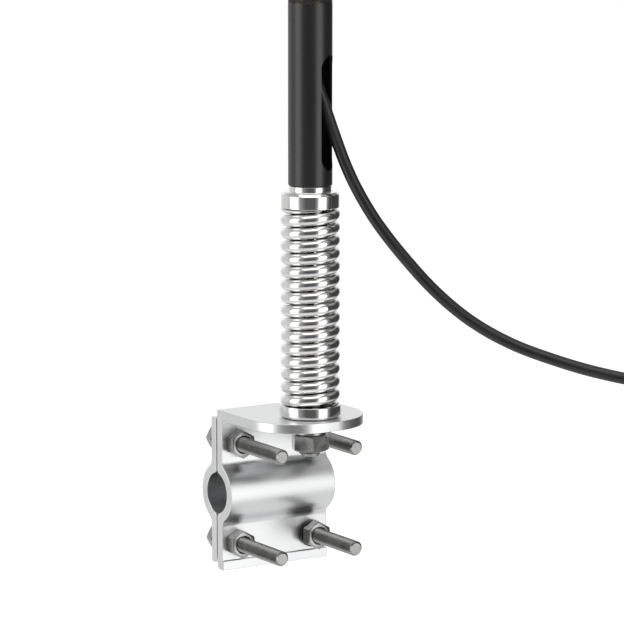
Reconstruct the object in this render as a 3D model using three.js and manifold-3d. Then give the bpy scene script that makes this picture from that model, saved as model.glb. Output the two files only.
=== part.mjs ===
// Whip antenna on a spring base with a two-jaw bar clamp, in millimetres, +Z up.
// The origin lies on the axis of the clamped bar, at the middle of the jaws:
// +X runs along the bar, -Y points to the shelf that carries the spring and the mast.
import * as THREE from 'three';
import { mergeVertices } from 'three/addons/utils/BufferGeometryUtils.js';
import Module from 'manifold-3d';

const wasm = await Module();
wasm.setup();

// Driving dimensions
const seat = 0.2; // gap where one piece rests on another
const slip = 0.3; // radial gap where one piece passes through another
const facets = 32; // sides of the larger round pieces
const smallFacets = 20; // sides of fasteners and inner rods

const jawLength = 64;
const jawPlate = 5;
const jawGap = 0.8; // between the two jaws when closed on no bar
const barRecessDepth = 10; // from the parting plane to the deepest point of the recess
const barRecessHalfHeight = 10.8;
const jawWall = 5; // around the bar
const jawTipRadius = 2.5;
const jawFilletRadius = 5;
const frontJawBottom = -40.5;
const rearJawTop = 40;
const rearJawBottom = -37.5;
const lipHeight = 5;
const lipStand = 1;

const shelfTop = 44.5;
const shelfThickness = 5;
const shelfReach = 61.5; // from the parting plane to the front edge
const shelfCornerRadius = 28;
const mastReach = 41; // from the parting plane to the mast axis

const boltDiameter = 8;
const boltLength = 60;
const boltSpacingX = 45;
const boltSpacingZ = 53.4;
const boltHeadFlats = 13;
const boltHeadHeight = 5.3;
const boltTipChamfer = 0.9;
const boltHoleSlip = 0.4;
const flatWasherDiameter = 16;
const flatWasherThickness = 1.6;
const springWasherDiameter = 14.2;
const springWasherThickness = 2.2;
const springWasherSplit = 0.9;
const clampNutHeight = 6.5;

const studDiameter = 12;
const studNutFlats = 18;
const studNutHeight = 8.4;
const studTail = 2.8; // below the nut
const studReach = 8.5; // up into the spigot of the ferrule
const studSpacerDiameter = 16.5;
const studSpacerHeight = 3.9;

const ferruleDiameter = 32;
const ferruleHeight = 6.3;
const ferruleEdge = 1.2;
const spigotHeight = 14;
const springDiameter = 31;
const springWire = 6.2;
const springPitch = 6.66;
const springLength = 101.9;
const springEndSlip = 0.2; // each ground end, over and above the seat
const springEndWire = 0.8; // thickness left at the very end of the wire, where the coil is ground flat
const springStart = THREE.MathUtils.degToRad(-73); // where the lower end of the wire lies
const springSteps = 16; // per turn
const spigotSlip = 0.6; // under the coil
const braidDiameter = 4.4;
const upperFerruleDiameter = 30.2;
const upperFerruleHeight = 6.7;
const upperFerruleCone = 1.5;
const upperFerruleConeDiameter = 27.2;
const neckDiameter = 22;
const neckHeight = 3;
const insertHeight = 6.5; // above the neck, up inside the tube

const tubeDiameter = 22.8;
const tubeWall = 1.4;
const tubeLength = 93.7;
const slotWidth = 13;
const slotLength = 59;
const slotFoot = 7.7; // from the lower end of the tube to the slot
const slotAngle = THREE.MathUtils.degToRad(-57); // side of the mast that the slot faces
const cableAngle = THREE.MathUtils.degToRad(-45.6); // side of the mast that the cable leaves to

const couplerBelow = 12.5; // into the side-exit tube
const couplerAbove = 21; // into the radome
const couplerBore = 6.8;
const ringThickness = 1;
const ringInset = 0.1;
const radomeLength = 380;
const capPlug = 14;
const capHeight = 12;

const feedCableDiameter = 5;
const chokeDiameter = 16;
const chokeLength = 10;
const chokeCount = 3;
const foamThickness = 10;
const sleeveDiameter = 13;
const sleeveWall = 0.8;
const sleeveLength = 77.5;
const insulatorLength = 8;
const radiatorDiameter = 3.2;
const lowerRadiatorLength = 91;
const topRadiatorLength = 98;
const formerDiameter = 7.6;
const formerLength = 33;
const phasingWire = 2;
const phasingGap = 0.4; // between the former and the wire
const phasingPitch = 4.4;
const phasingTurns = 6;

const cableDiameter = 6.1;
const cableSides = 8;
const cableSteps = 60;
const tailSteps = 14;
const bootLength = 10.2;
const bootDiameter = 10;
const bootTipDiameter = 7.6;
const coilPitch = 6.15; // from turn to turn, across and along
const coilAcross = 4; // turns each way in the wound section
const coilMiddleRadius = 35;
const coilHeight = 391;
const coilGap = 0.25; // off the back of the radome
const beltHeight = 16;
const strapThickness = 1.2;
const strapSlip = 0.5;
const tieWidth = 5;
const tieAngles = { coil_tie_top: 55, coil_tie_bottom: 235 }; // round the coil, from +X
const tailTieHeight = 493;
const crimpDiameter = 7.6;
const crimpLength = 12;
const connectorDiameter = 8.2;
const connectorLength = 5;
const connectorNeckDiameter = 5.2;
const connectorNeckLength = 4;
const dielectricDiameter = 4.1;
const dielectricLength = 4;
const pinDiameter = 0.94;
const pinLength = 2.4;
const couplingNutFlats = 8;
const couplingNutLength = 9;
const couplingNutLip = 1.6;

// Points of the cable beside the mast axis: away from it on the cable's side, sideways, up
const cableRoute = [
  [0, 0, 245.2], [0, 0, 237], [0.8, 0, 228], [3, 0, 219], [7, 0, 207], [13, 0, 190],
  [19, 0, 174.5], [26, 0, 160.5], [36, 0, 145], [50, 0, 128], [66, 0, 111.5],
  [84, 0, 97.5], [104, 0, 87], [126, 0, 79.5], [150, 0, 73.5], [175, 0, 70],
  [200, 0, 72], [221, 0, 83], [235, 0, 104], [240, 0, 131], [234, 0, 165], [220, 0, 200],
  [200, 0, 235], [175, 0.5, 268], [147, 2, 292], [115, 4, 312], [82, 7, 329],
  [66, 10.4, 335], [50, 15.2, 339.8], [35.5, 20, 343.2], [21.5, 22.7, 345.3], [8.2, 21.4, 346.4],
];
// Points of the far end of the cable in the mast's own frame
const tailRoute = [
  [-44.2, 33.1, 414.6], [-42.8, 32.1, 424.1], [-39.3, 29.5, 433.6], [-34.2, 25.9, 443.1],
  [-28.4, 21.7, 452.6], [-22.6, 17.5, 462.1], [-17.5, 13.9, 471.6], [-14, 11.3, 481.1],
  [-12.6, 10.3, 490.6], [-12.6, 10.3, 504],
];

// Sizes and levels that follow
const jawInner = jawGap / 2;
const jawOuter = jawInner + jawPlate;
const recessRadius = (barRecessHalfHeight ** 2 + (barRecessDepth - jawInner) ** 2)
  / (2 * (barRecessDepth - jawInner));
const recessCentre = barRecessDepth - recessRadius;
const boltHoleRadius = boltDiameter / 2 + boltHoleSlip;
const springWasherSeat = jawOuter + seat + flatWasherThickness + seat;
const boltHeadSeat = springWasherSeat + springWasherThickness + seat;
const shelfBottom = shelfTop - shelfThickness;
const studRadius = studDiameter / 2;
const spacerTop = shelfBottom - seat;
const studNutTop = spacerTop - studSpacerHeight - seat;
const studFoot = studNutTop - studNutHeight - studTail;
const ferruleFoot = shelfTop + seat;
const ferruleTop = ferruleFoot + ferruleHeight;
const spigotTop = ferruleTop + spigotHeight;
const springFoot = ferruleTop + seat;
const springTop = springFoot + springLength;
const springBore = springDiameter - 2 * springWire;
const spigotRadius = springBore / 2 - spigotSlip;
const upperFerruleFoot = springTop + seat;
const upperSpigotFoot = upperFerruleFoot - spigotHeight;
const neckFoot = upperFerruleFoot + upperFerruleHeight + upperFerruleCone;
const neckTop = neckFoot + neckHeight;
const tubeFoot = neckTop + seat;
const tubeTop = tubeFoot + tubeLength;
const tubeBore = tubeDiameter - 2 * tubeWall;
const ringFoot = tubeTop + seat;
const radomeFoot = ringFoot + ringThickness + seat;
const radomeTop = radomeFoot + radomeLength;
const insertRadius = tubeBore / 2 - slip;
const couplerFoot = tubeTop - couplerBelow;
const couplerTop = radomeFoot + couplerAbove;
const chokeStep = chokeLength + seat;
const lowerFoamFoot = couplerTop + seat + chokeCount * chokeStep;
const sleeveBottom = lowerFoamFoot + foamThickness + seat;
const sleeveTop = sleeveBottom + sleeveLength;
const insulatorFoot = sleeveTop - sleeveWall - insulatorLength;
const whipFoot = sleeveTop + seat;
const whipTop = whipFoot + lowerRadiatorLength;
const formerFoot = whipTop + seat;
const formerTop = formerFoot + formerLength;
const topWhipFoot = formerTop + seat;
const topWhipTop = topWhipFoot + topRadiatorLength;
const coilHalf = (coilPitch * (coilAcross - 1) + cableDiameter) / 2;
const coilSide = tubeDiameter / 2 + coilGap;
const coilCentre = coilSide + coilHalf;
const coilOuter = coilMiddleRadius + coilHalf;
const coilInner = coilMiddleRadius - coilHalf;
const tailEnd = tailRoute.at(-1);
const crimpFoot = tailEnd[2] + seat;
const connectorFoot = crimpFoot + crimpLength + seat;
const connectorTop = connectorFoot + connectorLength;

const finishes = {
  extrusion: { color: 0xd2d3d4, roughness: 0.38, metalness: 0.95 },
  stainless: { color: 0xb9bab8, roughness: 0.22, metalness: 1 },
  polished: { color: 0xe2e2e0, roughness: 0.08, metalness: 1 },
  braid: { color: 0xa86b43, roughness: 0.55, metalness: 0.9 },
  blackTube: { color: 0x222223, roughness: 0.42, metalness: 0.05 },
  blackPlastic: { color: 0x1b1b1c, roughness: 0.55, metalness: 0 },
  cableJacket: { color: 0x1d1d1e, roughness: 0.48, metalness: 0 },
  strap: { color: 0x202022, roughness: 0.9, metalness: 0 },
  brass: { color: 0xc29a4b, roughness: 0.3, metalness: 1 },
  ferrite: { color: 0x3a3a3c, roughness: 0.65, metalness: 0.1 },
  insulator: { color: 0xf0efe9, roughness: 0.5, metalness: 0 },
  foam: { color: 0xdcdcd6, roughness: 0.95, metalness: 0 },
  gold: { color: 0xd8ae55, roughness: 0.25, metalness: 1 },
};

const antenna = new THREE.Group();
const mast = new THREE.Group();
mast.position.y = -mastReach;
const slotSide = new THREE.Group();
slotSide.rotation.z = slotAngle;
const cableSide = new THREE.Group();
cableSide.rotation.z = cableAngle;
mast.add(slotSide, cableSide);
antenna.add(mast);

function addPiece(parent, name, geometry, finish, position = [0, 0, 0]) {
  const mesh = new THREE.Mesh(geometry, new THREE.MeshStandardMaterial(finishes[finish]));
  mesh.name = name;
  mesh.position.set(...position);
  parent.add(mesh);
  return mesh;
}

function toSolid(geometry) {
  const bare = geometry.clone();
  bare.deleteAttribute('normal');
  bare.deleteAttribute('uv');
  const merged = mergeVertices(bare, 1e-4);
  return new wasm.Manifold(new wasm.Mesh({
    numProp: 3,
    vertProperties: new Float32Array(merged.attributes.position.array),
    triVerts: new Uint32Array(merged.index.array),
  }));
}

function fromSolid(solid) {
  const mesh = solid.getMesh();
  const geometry = new THREE.BufferGeometry();
  geometry.setAttribute('position', new THREE.BufferAttribute(mesh.vertProperties, 3));
  geometry.setIndex(new THREE.BufferAttribute(mesh.triVerts, 1));
  geometry.computeVertexNormals();
  return geometry;
}

function joined(first, ...others) {
  return fromSolid(others.reduce((solid, other) => solid.add(toSolid(other)), toSolid(first)));
}

function cut(body, ...tools) {
  return fromSolid(tools.reduce((solid, tool) => solid.subtract(toSolid(tool)), toSolid(body)));
}

// A solid turned about Z from [radius, height] corners; closed says that it has a bore.
function turned(corners, sides = facets, closed = false) {
  const outline = corners.map(([radius, height]) => new THREE.Vector2(radius, height));
  if (closed) outline.push(outline[0].clone());
  return new THREE.LatheGeometry(outline, sides).rotateX(Math.PI / 2);
}

function sleeve(bore, diameter, foot, top, sides = facets) {
  const corners = [[bore / 2, foot], [diameter / 2, foot], [diameter / 2, top], [bore / 2, top]];
  return turned(corners, sides, true);
}

function rod(diameter, foot, top, sides = smallFacets) {
  const radius = diameter / 2;
  return new THREE.CylinderGeometry(radius, radius, top - foot, sides)
    .rotateX(Math.PI / 2)
    .translate(0, 0, (foot + top) / 2);
}

// A hexagonal bar whose flats face X, from foot to top along Z.
function hexBar(flats, foot, top) {
  const corner = flats / Math.sqrt(3);
  return new THREE.CylinderGeometry(corner, corner, top - foot, 6)
    .rotateX(Math.PI / 2)
    .translate(0, 0, (foot + top) / 2);
}

function extruded(shape, depth, curveSegments = 8) {
  return new THREE.ExtrudeGeometry(shape, { depth, curveSegments, bevelEnabled: false });
}

// One jaw's section: distance from the parting plane, then height.
function jawSection(bottom, top, hasLip) {
  const outerRadius = recessRadius + jawWall;
  const filletAt = jawOuter + jawFilletRadius;
  const filletHeight = Math.sqrt((outerRadius + jawFilletRadius) ** 2 - (filletAt - recessCentre) ** 2);
  const bulgeAngle = Math.atan2(filletHeight, filletAt - recessCentre);
  const tipAt = jawInner + jawTipRadius;
  const tipHeight = Math.sqrt((recessRadius + jawTipRadius) ** 2 - (tipAt - recessCentre) ** 2);
  const tipAngle = Math.atan2(tipHeight, tipAt - recessCentre);
  const shape = new THREE.Shape();
  shape.moveTo(jawInner, bottom);
  if (hasLip) {
    shape.lineTo(jawOuter + lipStand, bottom);
    shape.lineTo(jawOuter + lipStand, bottom + lipHeight);
    shape.lineTo(jawOuter, bottom + lipHeight);
  } else {
    shape.lineTo(jawOuter, bottom);
  }
  shape.lineTo(jawOuter, -filletHeight);
  shape.absarc(filletAt, -filletHeight, jawFilletRadius, Math.PI, Math.PI - bulgeAngle, true);
  shape.absarc(recessCentre, 0, outerRadius, -bulgeAngle, bulgeAngle, false);
  shape.absarc(filletAt, filletHeight, jawFilletRadius, Math.PI + bulgeAngle, Math.PI, true);
  shape.lineTo(jawOuter, top);
  shape.lineTo(jawInner, top);
  shape.lineTo(jawInner, tipHeight);
  shape.absarc(tipAt, tipHeight, jawTipRadius, Math.PI, Math.PI + tipAngle, false);
  shape.absarc(recessCentre, 0, recessRadius, tipAngle, -tipAngle, true);
  shape.absarc(tipAt, -tipHeight, jawTipRadius, Math.PI - tipAngle, Math.PI, false);
  shape.closePath();
  return shape;
}

// The section stood up and pulled along X, with the jaw on the +Y side of the parting plane.
function jawBody(bottom, top, hasLip) {
  const stand = new THREE.Matrix4().makeBasis(
    new THREE.Vector3(0, 1, 0),
    new THREE.Vector3(0, 0, 1),
    new THREE.Vector3(1, 0, 0),
  );
  return extruded(jawSection(bottom, top, hasLip), jawLength)
    .translate(0, 0, -jawLength / 2)
    .applyMatrix4(stand);
}

function boltPlaces() {
  const places = [];
  for (const side of [1, -1]) {
    for (const level of [1, -1]) {
      places.push([side * boltSpacingX / 2, 0, level * boltSpacingZ / 2]);
    }
  }
  return places;
}

// A shape along Z laid along -Y, so that its top looks to the shelf side.
function laidForward(geometry) {
  return geometry.rotateX(Math.PI / 2);
}

function boltHoles() {
  const reach = barRecessDepth + jawWall;
  return boltPlaces().map((place) =>
    laidForward(rod(2 * boltHoleRadius, -reach, reach)).translate(...place));
}

function shelfPlan() {
  const half = jawLength / 2;
  const back = -(jawInner + jawPlate / 2);
  const cornerX = half - shelfCornerRadius;
  const cornerY = -shelfReach + shelfCornerRadius;
  const shape = new THREE.Shape();
  shape.moveTo(half, back);
  shape.lineTo(-half, back);
  shape.lineTo(-half, cornerY);
  shape.absarc(-cornerX, cornerY, shelfCornerRadius, Math.PI, Math.PI * 1.5, false);
  shape.absarc(cornerX, cornerY, shelfCornerRadius, Math.PI * 1.5, Math.PI * 2, false);
  shape.closePath();
  return shape;
}

function makeBracket() {
  const plate = jawBody(frontJawBottom, shelfTop, true).rotateZ(Math.PI);
  const shelf = extruded(shelfPlan(), shelfThickness, 10).translate(0, 0, shelfBottom);
  const studHole = rod(studDiameter + 2 * slip, shelfBottom - 1, shelfTop + 1)
    .translate(0, -mastReach, 0);
  const body = joined(plate, shelf);
  addPiece(antenna, 'front_jaw_bracket', cut(body, studHole, ...boltHoles()), 'extrusion');
}

function makeRearJaw() {
  const body = jawBody(rearJawBottom, rearJawTop, false);
  addPiece(antenna, 'rear_jaw', cut(body, ...boltHoles()), 'extrusion');
}

function chamferedRod(diameter, foot, top, chamfer) {
  const radius = diameter / 2;
  return turned([[0, foot], [radius, foot], [radius, top - chamfer], [radius - chamfer, top], [0, top]],
    smallFacets);
}

function splitWasher(bore) {
  const ring = sleeve(bore, springWasherDiameter, 0, springWasherThickness, smallFacets);
  const split = new THREE.BoxGeometry(springWasherDiameter, springWasherSplit, 3 * springWasherThickness)
    .translate(springWasherDiameter / 2, 0, 0);
  return cut(ring, split);
}

function makeClampFasteners() {
  const washerBore = boltDiameter + 2 * slip;
  boltPlaces().forEach(([x, , z], index) => {
    const number = index + 1;
    const shank = chamferedRod(boltDiameter, -1, boltLength, boltTipChamfer);
    const head = hexBar(boltHeadFlats, -boltHeadHeight, 0).rotateZ(Math.PI / 6);
    const bolt = laidForward(joined(head, shank));
    addPiece(antenna, `clamp_bolt_${number}`, bolt, 'stainless', [x, boltHeadSeat, z]);
    const flat = laidForward(sleeve(washerBore, flatWasherDiameter, 0, flatWasherThickness, smallFacets));
    addPiece(antenna, `bolt_flat_washer_${number}`, flat, 'stainless',
      [x, jawOuter + seat + flatWasherThickness, z]);
    const spring = laidForward(splitWasher(washerBore));
    addPiece(antenna, `bolt_spring_washer_${number}`, spring, 'stainless',
      [x, springWasherSeat + springWasherThickness, z]);
    const hasLockWasher = x > 0;
    let nutSeat = -jawOuter - seat;
    if (hasLockWasher) {
      const lock = laidForward(splitWasher(washerBore));
      addPiece(antenna, `nut_lock_washer_${number}`, lock, 'stainless', [x, nutSeat, z]);
      nutSeat -= springWasherThickness + seat;
    }
    const blank = hexBar(boltHeadFlats, 0, clampNutHeight);
    const nut = laidForward(cut(blank, rod(washerBore, -1, clampNutHeight + 1)));
    addPiece(antenna, `clamp_nut_${number}`, nut, 'stainless', [x, nutSeat, z]);
  });
}

function makeStud() {
  const holeDiameter = studDiameter + 2 * slip;
  const stud = chamferedRod(studDiameter, -(ferruleTop + studReach), -studFoot, 1).rotateX(Math.PI);
  addPiece(mast, 'mounting_stud', stud, 'stainless');
  const spacer = sleeve(holeDiameter, studSpacerDiameter, spacerTop - studSpacerHeight, spacerTop, smallFacets);
  addPiece(mast, 'stud_spacer', spacer, 'stainless');
  const blank = hexBar(studNutFlats, studNutTop - studNutHeight, studNutTop);
  const nut = cut(blank, rod(holeDiameter, studNutTop - studNutHeight - 1, studNutTop + 1));
  addPiece(mast, 'stud_nut', nut.rotateZ(THREE.MathUtils.degToRad(37)), 'stainless');
}

function makeLowerFerrule() {
  const radius = ferruleDiameter / 2;
  const bore = studRadius + slip;
  const boreTop = ferruleTop + studReach + seat;
  const corners = [
    [0, boreTop], [bore, boreTop], [bore, ferruleFoot], [radius - ferruleEdge, ferruleFoot],
    [radius, ferruleFoot + ferruleEdge], [radius, ferruleTop], [spigotRadius, ferruleTop],
    [spigotRadius, spigotTop], [0, spigotTop],
  ];
  addPiece(mast, 'spring_lower_ferrule', turned(corners), 'polished');
}

class Helix extends THREE.Curve {
  constructor(radius, pitch, foot, turns, start = 0) {
    super();
    Object.assign(this, { radius, pitch, foot, turns, start });
  }

  getPoint(t, target = new THREE.Vector3()) {
    const angle = this.start + 2 * Math.PI * this.turns * t;
    const height = this.foot + this.pitch * this.turns * t;
    return target.set(this.radius * Math.cos(angle), this.radius * Math.sin(angle), height);
  }
}

function roundSection(diameter, sides) {
  const shape = new THREE.Shape();
  for (let side = 0; side < sides; side += 1) {
    const angle = 2 * Math.PI * side / sides;
    const x = diameter / 2 * Math.cos(angle);
    const y = diameter / 2 * Math.sin(angle);
    if (side === 0) shape.moveTo(x, y);
    else shape.lineTo(x, y);
  }
  shape.closePath();
  return shape;
}

function swept(curve, diameter, sides, steps) {
  return new THREE.ExtrudeGeometry(roundSection(diameter, sides), { extrudePath: curve, steps });
}

function routed(points, diameter, steps) {
  const curve = new THREE.CatmullRomCurve3(points.map((point) => new THREE.Vector3(...point)));
  return swept(curve, diameter, cableSides, steps);
}

function makeSpring() {
  const groundFoot = springFoot + springEndSlip;
  const groundTop = springTop - springEndSlip;
  const reach = springWire / 2 - springEndWire; // of the wire's middle line past each ground end
  const turns = (groundTop - groundFoot + 2 * reach) / springPitch;
  const helix = new Helix((springDiameter - springWire) / 2, springPitch, groundFoot - reach, turns,
    springStart);
  const wound = swept(helix, springWire, 6, Math.round(turns * springSteps));
  const below = rod(2 * springDiameter, groundFoot - springWire, groundFoot);
  const above = rod(2 * springDiameter, groundTop, groundTop + springWire);
  addPiece(mast, 'spring_coil', cut(wound, below, above), 'polished');
  const braid = rod(braidDiameter, spigotTop + slip, upperSpigotFoot - slip, 12);
  addPiece(mast, 'ground_braid', braid, 'braid');
}

function makeUpperFerrule() {
  const radius = upperFerruleDiameter / 2;
  const coneFoot = upperFerruleFoot + upperFerruleHeight;
  const corners = [
    [0, upperSpigotFoot], [spigotRadius, upperSpigotFoot], [spigotRadius, upperFerruleFoot],
    [radius, upperFerruleFoot], [radius, coneFoot], [upperFerruleConeDiameter / 2, neckFoot],
    [neckDiameter / 2, neckFoot], [neckDiameter / 2, neckTop], [insertRadius, neckTop],
    [insertRadius, neckTop + insertHeight], [0, neckTop + insertHeight],
  ];
  addPiece(mast, 'spring_upper_ferrule', turned(corners), 'polished');
}

// A wall slot with round ends, on the +X side of the tube.
function slotTool() {
  const radius = slotWidth / 2;
  const straight = slotLength / 2 - radius;
  const shape = new THREE.Shape();
  shape.moveTo(-straight, -radius);
  shape.lineTo(straight, -radius);
  shape.absarc(straight, 0, radius, -Math.PI / 2, Math.PI / 2, false);
  shape.lineTo(-straight, radius);
  shape.absarc(-straight, 0, radius, Math.PI / 2, Math.PI * 1.5, false);
  shape.closePath();
  return extruded(shape, tubeDiameter)
    .rotateY(-Math.PI / 2)
    .translate(tubeDiameter, 0, tubeFoot + slotFoot + slotLength / 2);
}

function makeTube() {
  const tube = sleeve(tubeBore, tubeDiameter, tubeFoot, tubeTop);
  addPiece(slotSide, 'side_exit_tube', cut(tube, slotTool()), 'blackTube');
  const coupler = sleeve(couplerBore, 2 * insertRadius, couplerFoot, couplerTop);
  addPiece(mast, 'tube_coupler', coupler, 'brass');
  const ring = sleeve(tubeBore + 2 * ringInset, tubeDiameter - 2 * ringInset, ringFoot,
    ringFoot + ringThickness);
  addPiece(mast, 'tube_seal_ring', ring, 'blackPlastic');
}

function makeRadome() {
  addPiece(mast, 'radome_tube', sleeve(tubeBore, tubeDiameter, radomeFoot, radomeTop), 'blackTube');
  const capFoot = radomeTop + seat;
  const radius = tubeDiameter / 2;
  const hole = radiatorDiameter / 2 + slip;
  const holeTop = topWhipTop + seat;
  const corners = [
    [0, holeTop], [hole, holeTop], [hole, radomeTop - capPlug], [insertRadius, radomeTop - capPlug],
    [insertRadius, capFoot], [radius, capFoot], [radius, capFoot + capHeight * 0.5],
    [radius * 0.92, capFoot + capHeight * 0.74], [radius * 0.7, capFoot + capHeight * 0.92],
    [radius * 0.35, capFoot + capHeight * 0.99], [0, capFoot + capHeight],
  ];
  addPiece(mast, 'radome_tip_cap', turned(corners), 'blackPlastic');
}

function makeFeed() {
  const feed = rod(feedCableDiameter, couplerFoot + seat, insulatorFoot - seat, 12);
  addPiece(mast, 'feed_cable', feed, 'cableJacket');
  for (let index = 0; index < chokeCount; index += 1) {
    const foot = couplerTop + seat + index * chokeStep;
    const choke = sleeve(feedCableDiameter + 2 * slip, chokeDiameter, foot, foot + chokeLength, smallFacets);
    addPiece(mast, `ferrite_choke_${index + 1}`, choke, 'ferrite');
  }
  const outer = sleeveDiameter / 2;
  const inner = outer - sleeveWall;
  const corners = [
    [0, sleeveTop - sleeveWall], [inner, sleeveTop - sleeveWall], [inner, sleeveBottom],
    [outer, sleeveBottom], [outer, sleeveTop], [0, sleeveTop],
  ];
  addPiece(mast, 'sleeve_radiator', turned(corners, smallFacets), 'brass');
  const insulatorRadius = inner - slip;
  const insulator = rod(2 * insulatorRadius, insulatorFoot, insulatorFoot + insulatorLength - seat);
  addPiece(mast, 'feed_insulator', insulator, 'insulator');
}

function makeRadiators() {
  addPiece(mast, 'lower_whip', rod(radiatorDiameter, whipFoot, whipTop, 12), 'brass');
  addPiece(mast, 'coil_former', rod(formerDiameter, formerFoot, formerTop, 16), 'insulator');
  addPiece(mast, 'upper_whip', rod(radiatorDiameter, topWhipFoot, topWhipTop, 12), 'brass');
  const radius = (formerDiameter + phasingWire) / 2 + phasingGap;
  const foot = (formerFoot + formerTop - phasingPitch * phasingTurns) / 2;
  const helix = new Helix(radius, phasingPitch, foot, phasingTurns);
  addPiece(mast, 'phasing_coil', swept(helix, phasingWire, 5, phasingTurns * 10), 'brass');
}

function makeFoamSpacers() {
  const foams = [
    [feedCableDiameter, lowerFoamFoot],
    [sleeveDiameter, sleeveBottom + sleeveLength * 0.42],
    [radiatorDiameter, whipFoot + lowerRadiatorLength * 0.5],
    [radiatorDiameter, topWhipFoot + topRadiatorLength * 0.42],
  ];
  foams.forEach(([core, foot], index) => {
    const foam = sleeve(core + 2 * slip, 2 * insertRadius, foot, foot + foamThickness, smallFacets);
    addPiece(mast, `foam_spacer_${index + 1}`, foam, 'foam');
  });
}

function makeCable() {
  const bootTop = couplerFoot - seat;
  const bootFoot = bootTop - bootLength;
  const bore = cableDiameter / 2 + slip;
  const corners = [
    [bore, bootFoot], [bootTipDiameter / 2, bootFoot], [bootDiameter / 2, bootTop - 3],
    [bootDiameter / 2, bootTop], [bore, bootTop],
  ];
  addPiece(mast, 'cable_boot', turned(corners, smallFacets, true), 'blackPlastic');
  addPiece(cableSide, 'cable_free_run', routed(cableRoute, cableDiameter, cableSteps), 'cableJacket');
  addPiece(mast, 'cable_tail', routed(tailRoute, cableDiameter, tailSteps), 'cableJacket');
  const ring = sleeve(2 * coilInner, 2 * coilOuter, -coilHalf, coilHalf).rotateX(Math.PI / 2);
  addPiece(mast, 'cable_coil', ring, 'cableJacket', [0, coilCentre, coilHeight]);
}

// The outline of a strap laid round some circles: [x, y, radius] in order, turning left.
function tautOutline(rounds, grow) {
  const points = [];
  rounds.forEach(([x, y, radius, from, to, steps]) => {
    for (let step = 0; step <= steps; step += 1) {
      const angle = THREE.MathUtils.degToRad(from + (to - from) * step / steps);
      points.push(new THREE.Vector2(
        x + (radius + grow) * Math.cos(angle),
        y + (radius + grow) * Math.sin(angle),
      ));
    }
  });
  return points;
}

function strap(rounds, width) {
  const shape = new THREE.Shape(tautOutline(rounds, strapSlip + strapThickness));
  shape.holes.push(new THREE.Path(tautOutline(rounds, strapSlip)));
  return extruded(shape, width).translate(0, 0, -width / 2);
}

// Angle at which a line drawn taut from a point beside the mast touches the mast.
function touchAngle(x, y, radius) {
  const angle = Math.atan2(y, x) - Math.acos(radius / Math.hypot(x, y));
  return THREE.MathUtils.radToDeg(angle);
}

function makeStraps() {
  const near = coilSide;
  const far = coilSide + 2 * coilHalf;
  const mastRadius = tubeDiameter / 2;
  const touch = touchAngle(coilOuter, near, mastRadius);
  const belt = strap([
    [coilOuter, far, 0, 0, 90, 2],
    [-coilOuter, far, 0, 90, 180, 2],
    [-coilOuter, near, 0, 180, 180 - touch, 2],
    [0, 0, mastRadius, 180 - touch, 360 + touch, 8],
    [coilOuter, near, 0, touch, 0, 2],
  ], beltHeight);
  addPiece(mast, 'coil_belt', belt, 'strap', [0, 0, coilHeight]);
  const corner = coilHalf;
  const section = [
    [corner, corner, 0, 0, 90, 2],
    [-corner, corner, 0, 90, 180, 2],
    [-corner, -corner, 0, 180, 270, 2],
    [corner, -corner, 0, 270, 360, 2],
  ];
  Object.entries(tieAngles).forEach(([name, angle]) => {
    const tie = strap(section, tieWidth)
      .translate(coilMiddleRadius, 0, 0)
      .rotateY(-THREE.MathUtils.degToRad(angle));
    addPiece(mast, name, tie, 'strap', [0, coilCentre, coilHeight]);
  });
}

function makeTailTie() {
  const [x, y] = tailRoute.at(-2);
  const lean = THREE.MathUtils.radToDeg(Math.atan2(y, x));
  const spread = THREE.MathUtils.radToDeg(
    Math.acos((tubeDiameter - cableDiameter) / 2 / Math.hypot(x, y)),
  );
  const tie = strap([
    [0, 0, tubeDiameter / 2, lean + spread, lean + 360 - spread, 14],
    [x, y, cableDiameter / 2, lean + 360 - spread, lean + 360 + spread, 6],
  ], tieWidth);
  addPiece(mast, 'tail_tie', tie, 'strap', [0, 0, tailTieHeight]);
}

function makeConnector() {
  const [x, y] = tailEnd;
  const neckTopLevel = connectorTop + connectorNeckLength;
  addPiece(mast, 'crimp_sleeve', rod(crimpDiameter, crimpFoot, crimpFoot + crimpLength), 'gold', [x, y, 0]);
  const body = turned([
    [0, connectorFoot], [connectorDiameter / 2, connectorFoot], [connectorDiameter / 2, connectorTop],
    [connectorNeckDiameter / 2, connectorTop], [connectorNeckDiameter / 2, neckTopLevel], [0, neckTopLevel],
  ], smallFacets);
  addPiece(mast, 'connector_body', body, 'gold', [x, y, 0]);
  const dielectricFoot = neckTopLevel + seat;
  const pinFoot = dielectricFoot + dielectricLength + seat;
  const dielectric = rod(dielectricDiameter, dielectricFoot, dielectricFoot + dielectricLength, 12);
  addPiece(mast, 'connector_dielectric', dielectric, 'insulator', [x, y, 0]);
  addPiece(mast, 'connector_pin', rod(pinDiameter, pinFoot, pinFoot + pinLength, 8), 'gold', [x, y, 0]);
  const foot = connectorTop + slip;
  const top = foot + couplingNutLength;
  const passage = rod(connectorNeckDiameter + 2 * slip, foot - 1, foot + couplingNutLip + 1);
  const socket = rod(connectorNeckDiameter + 1.2, foot + couplingNutLip, top + 1);
  const nut = cut(hexBar(couplingNutFlats, foot, top), passage, socket);
  addPiece(mast, 'coupling_nut', nut, 'gold', [x, y, 0]);
}

makeBracket();
makeRearJaw();
makeClampFasteners();
makeStud();
makeLowerFerrule();
makeSpring();
makeUpperFerrule();
makeTube();
makeRadome();
makeFeed();
makeRadiators();
makeFoamSpacers();
makeCable();
makeStraps();
makeTailTie();
makeConnector();

export default antenna;
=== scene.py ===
import math
import bpy
import bmesh
from mathutils import Matrix, Vector


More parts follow.
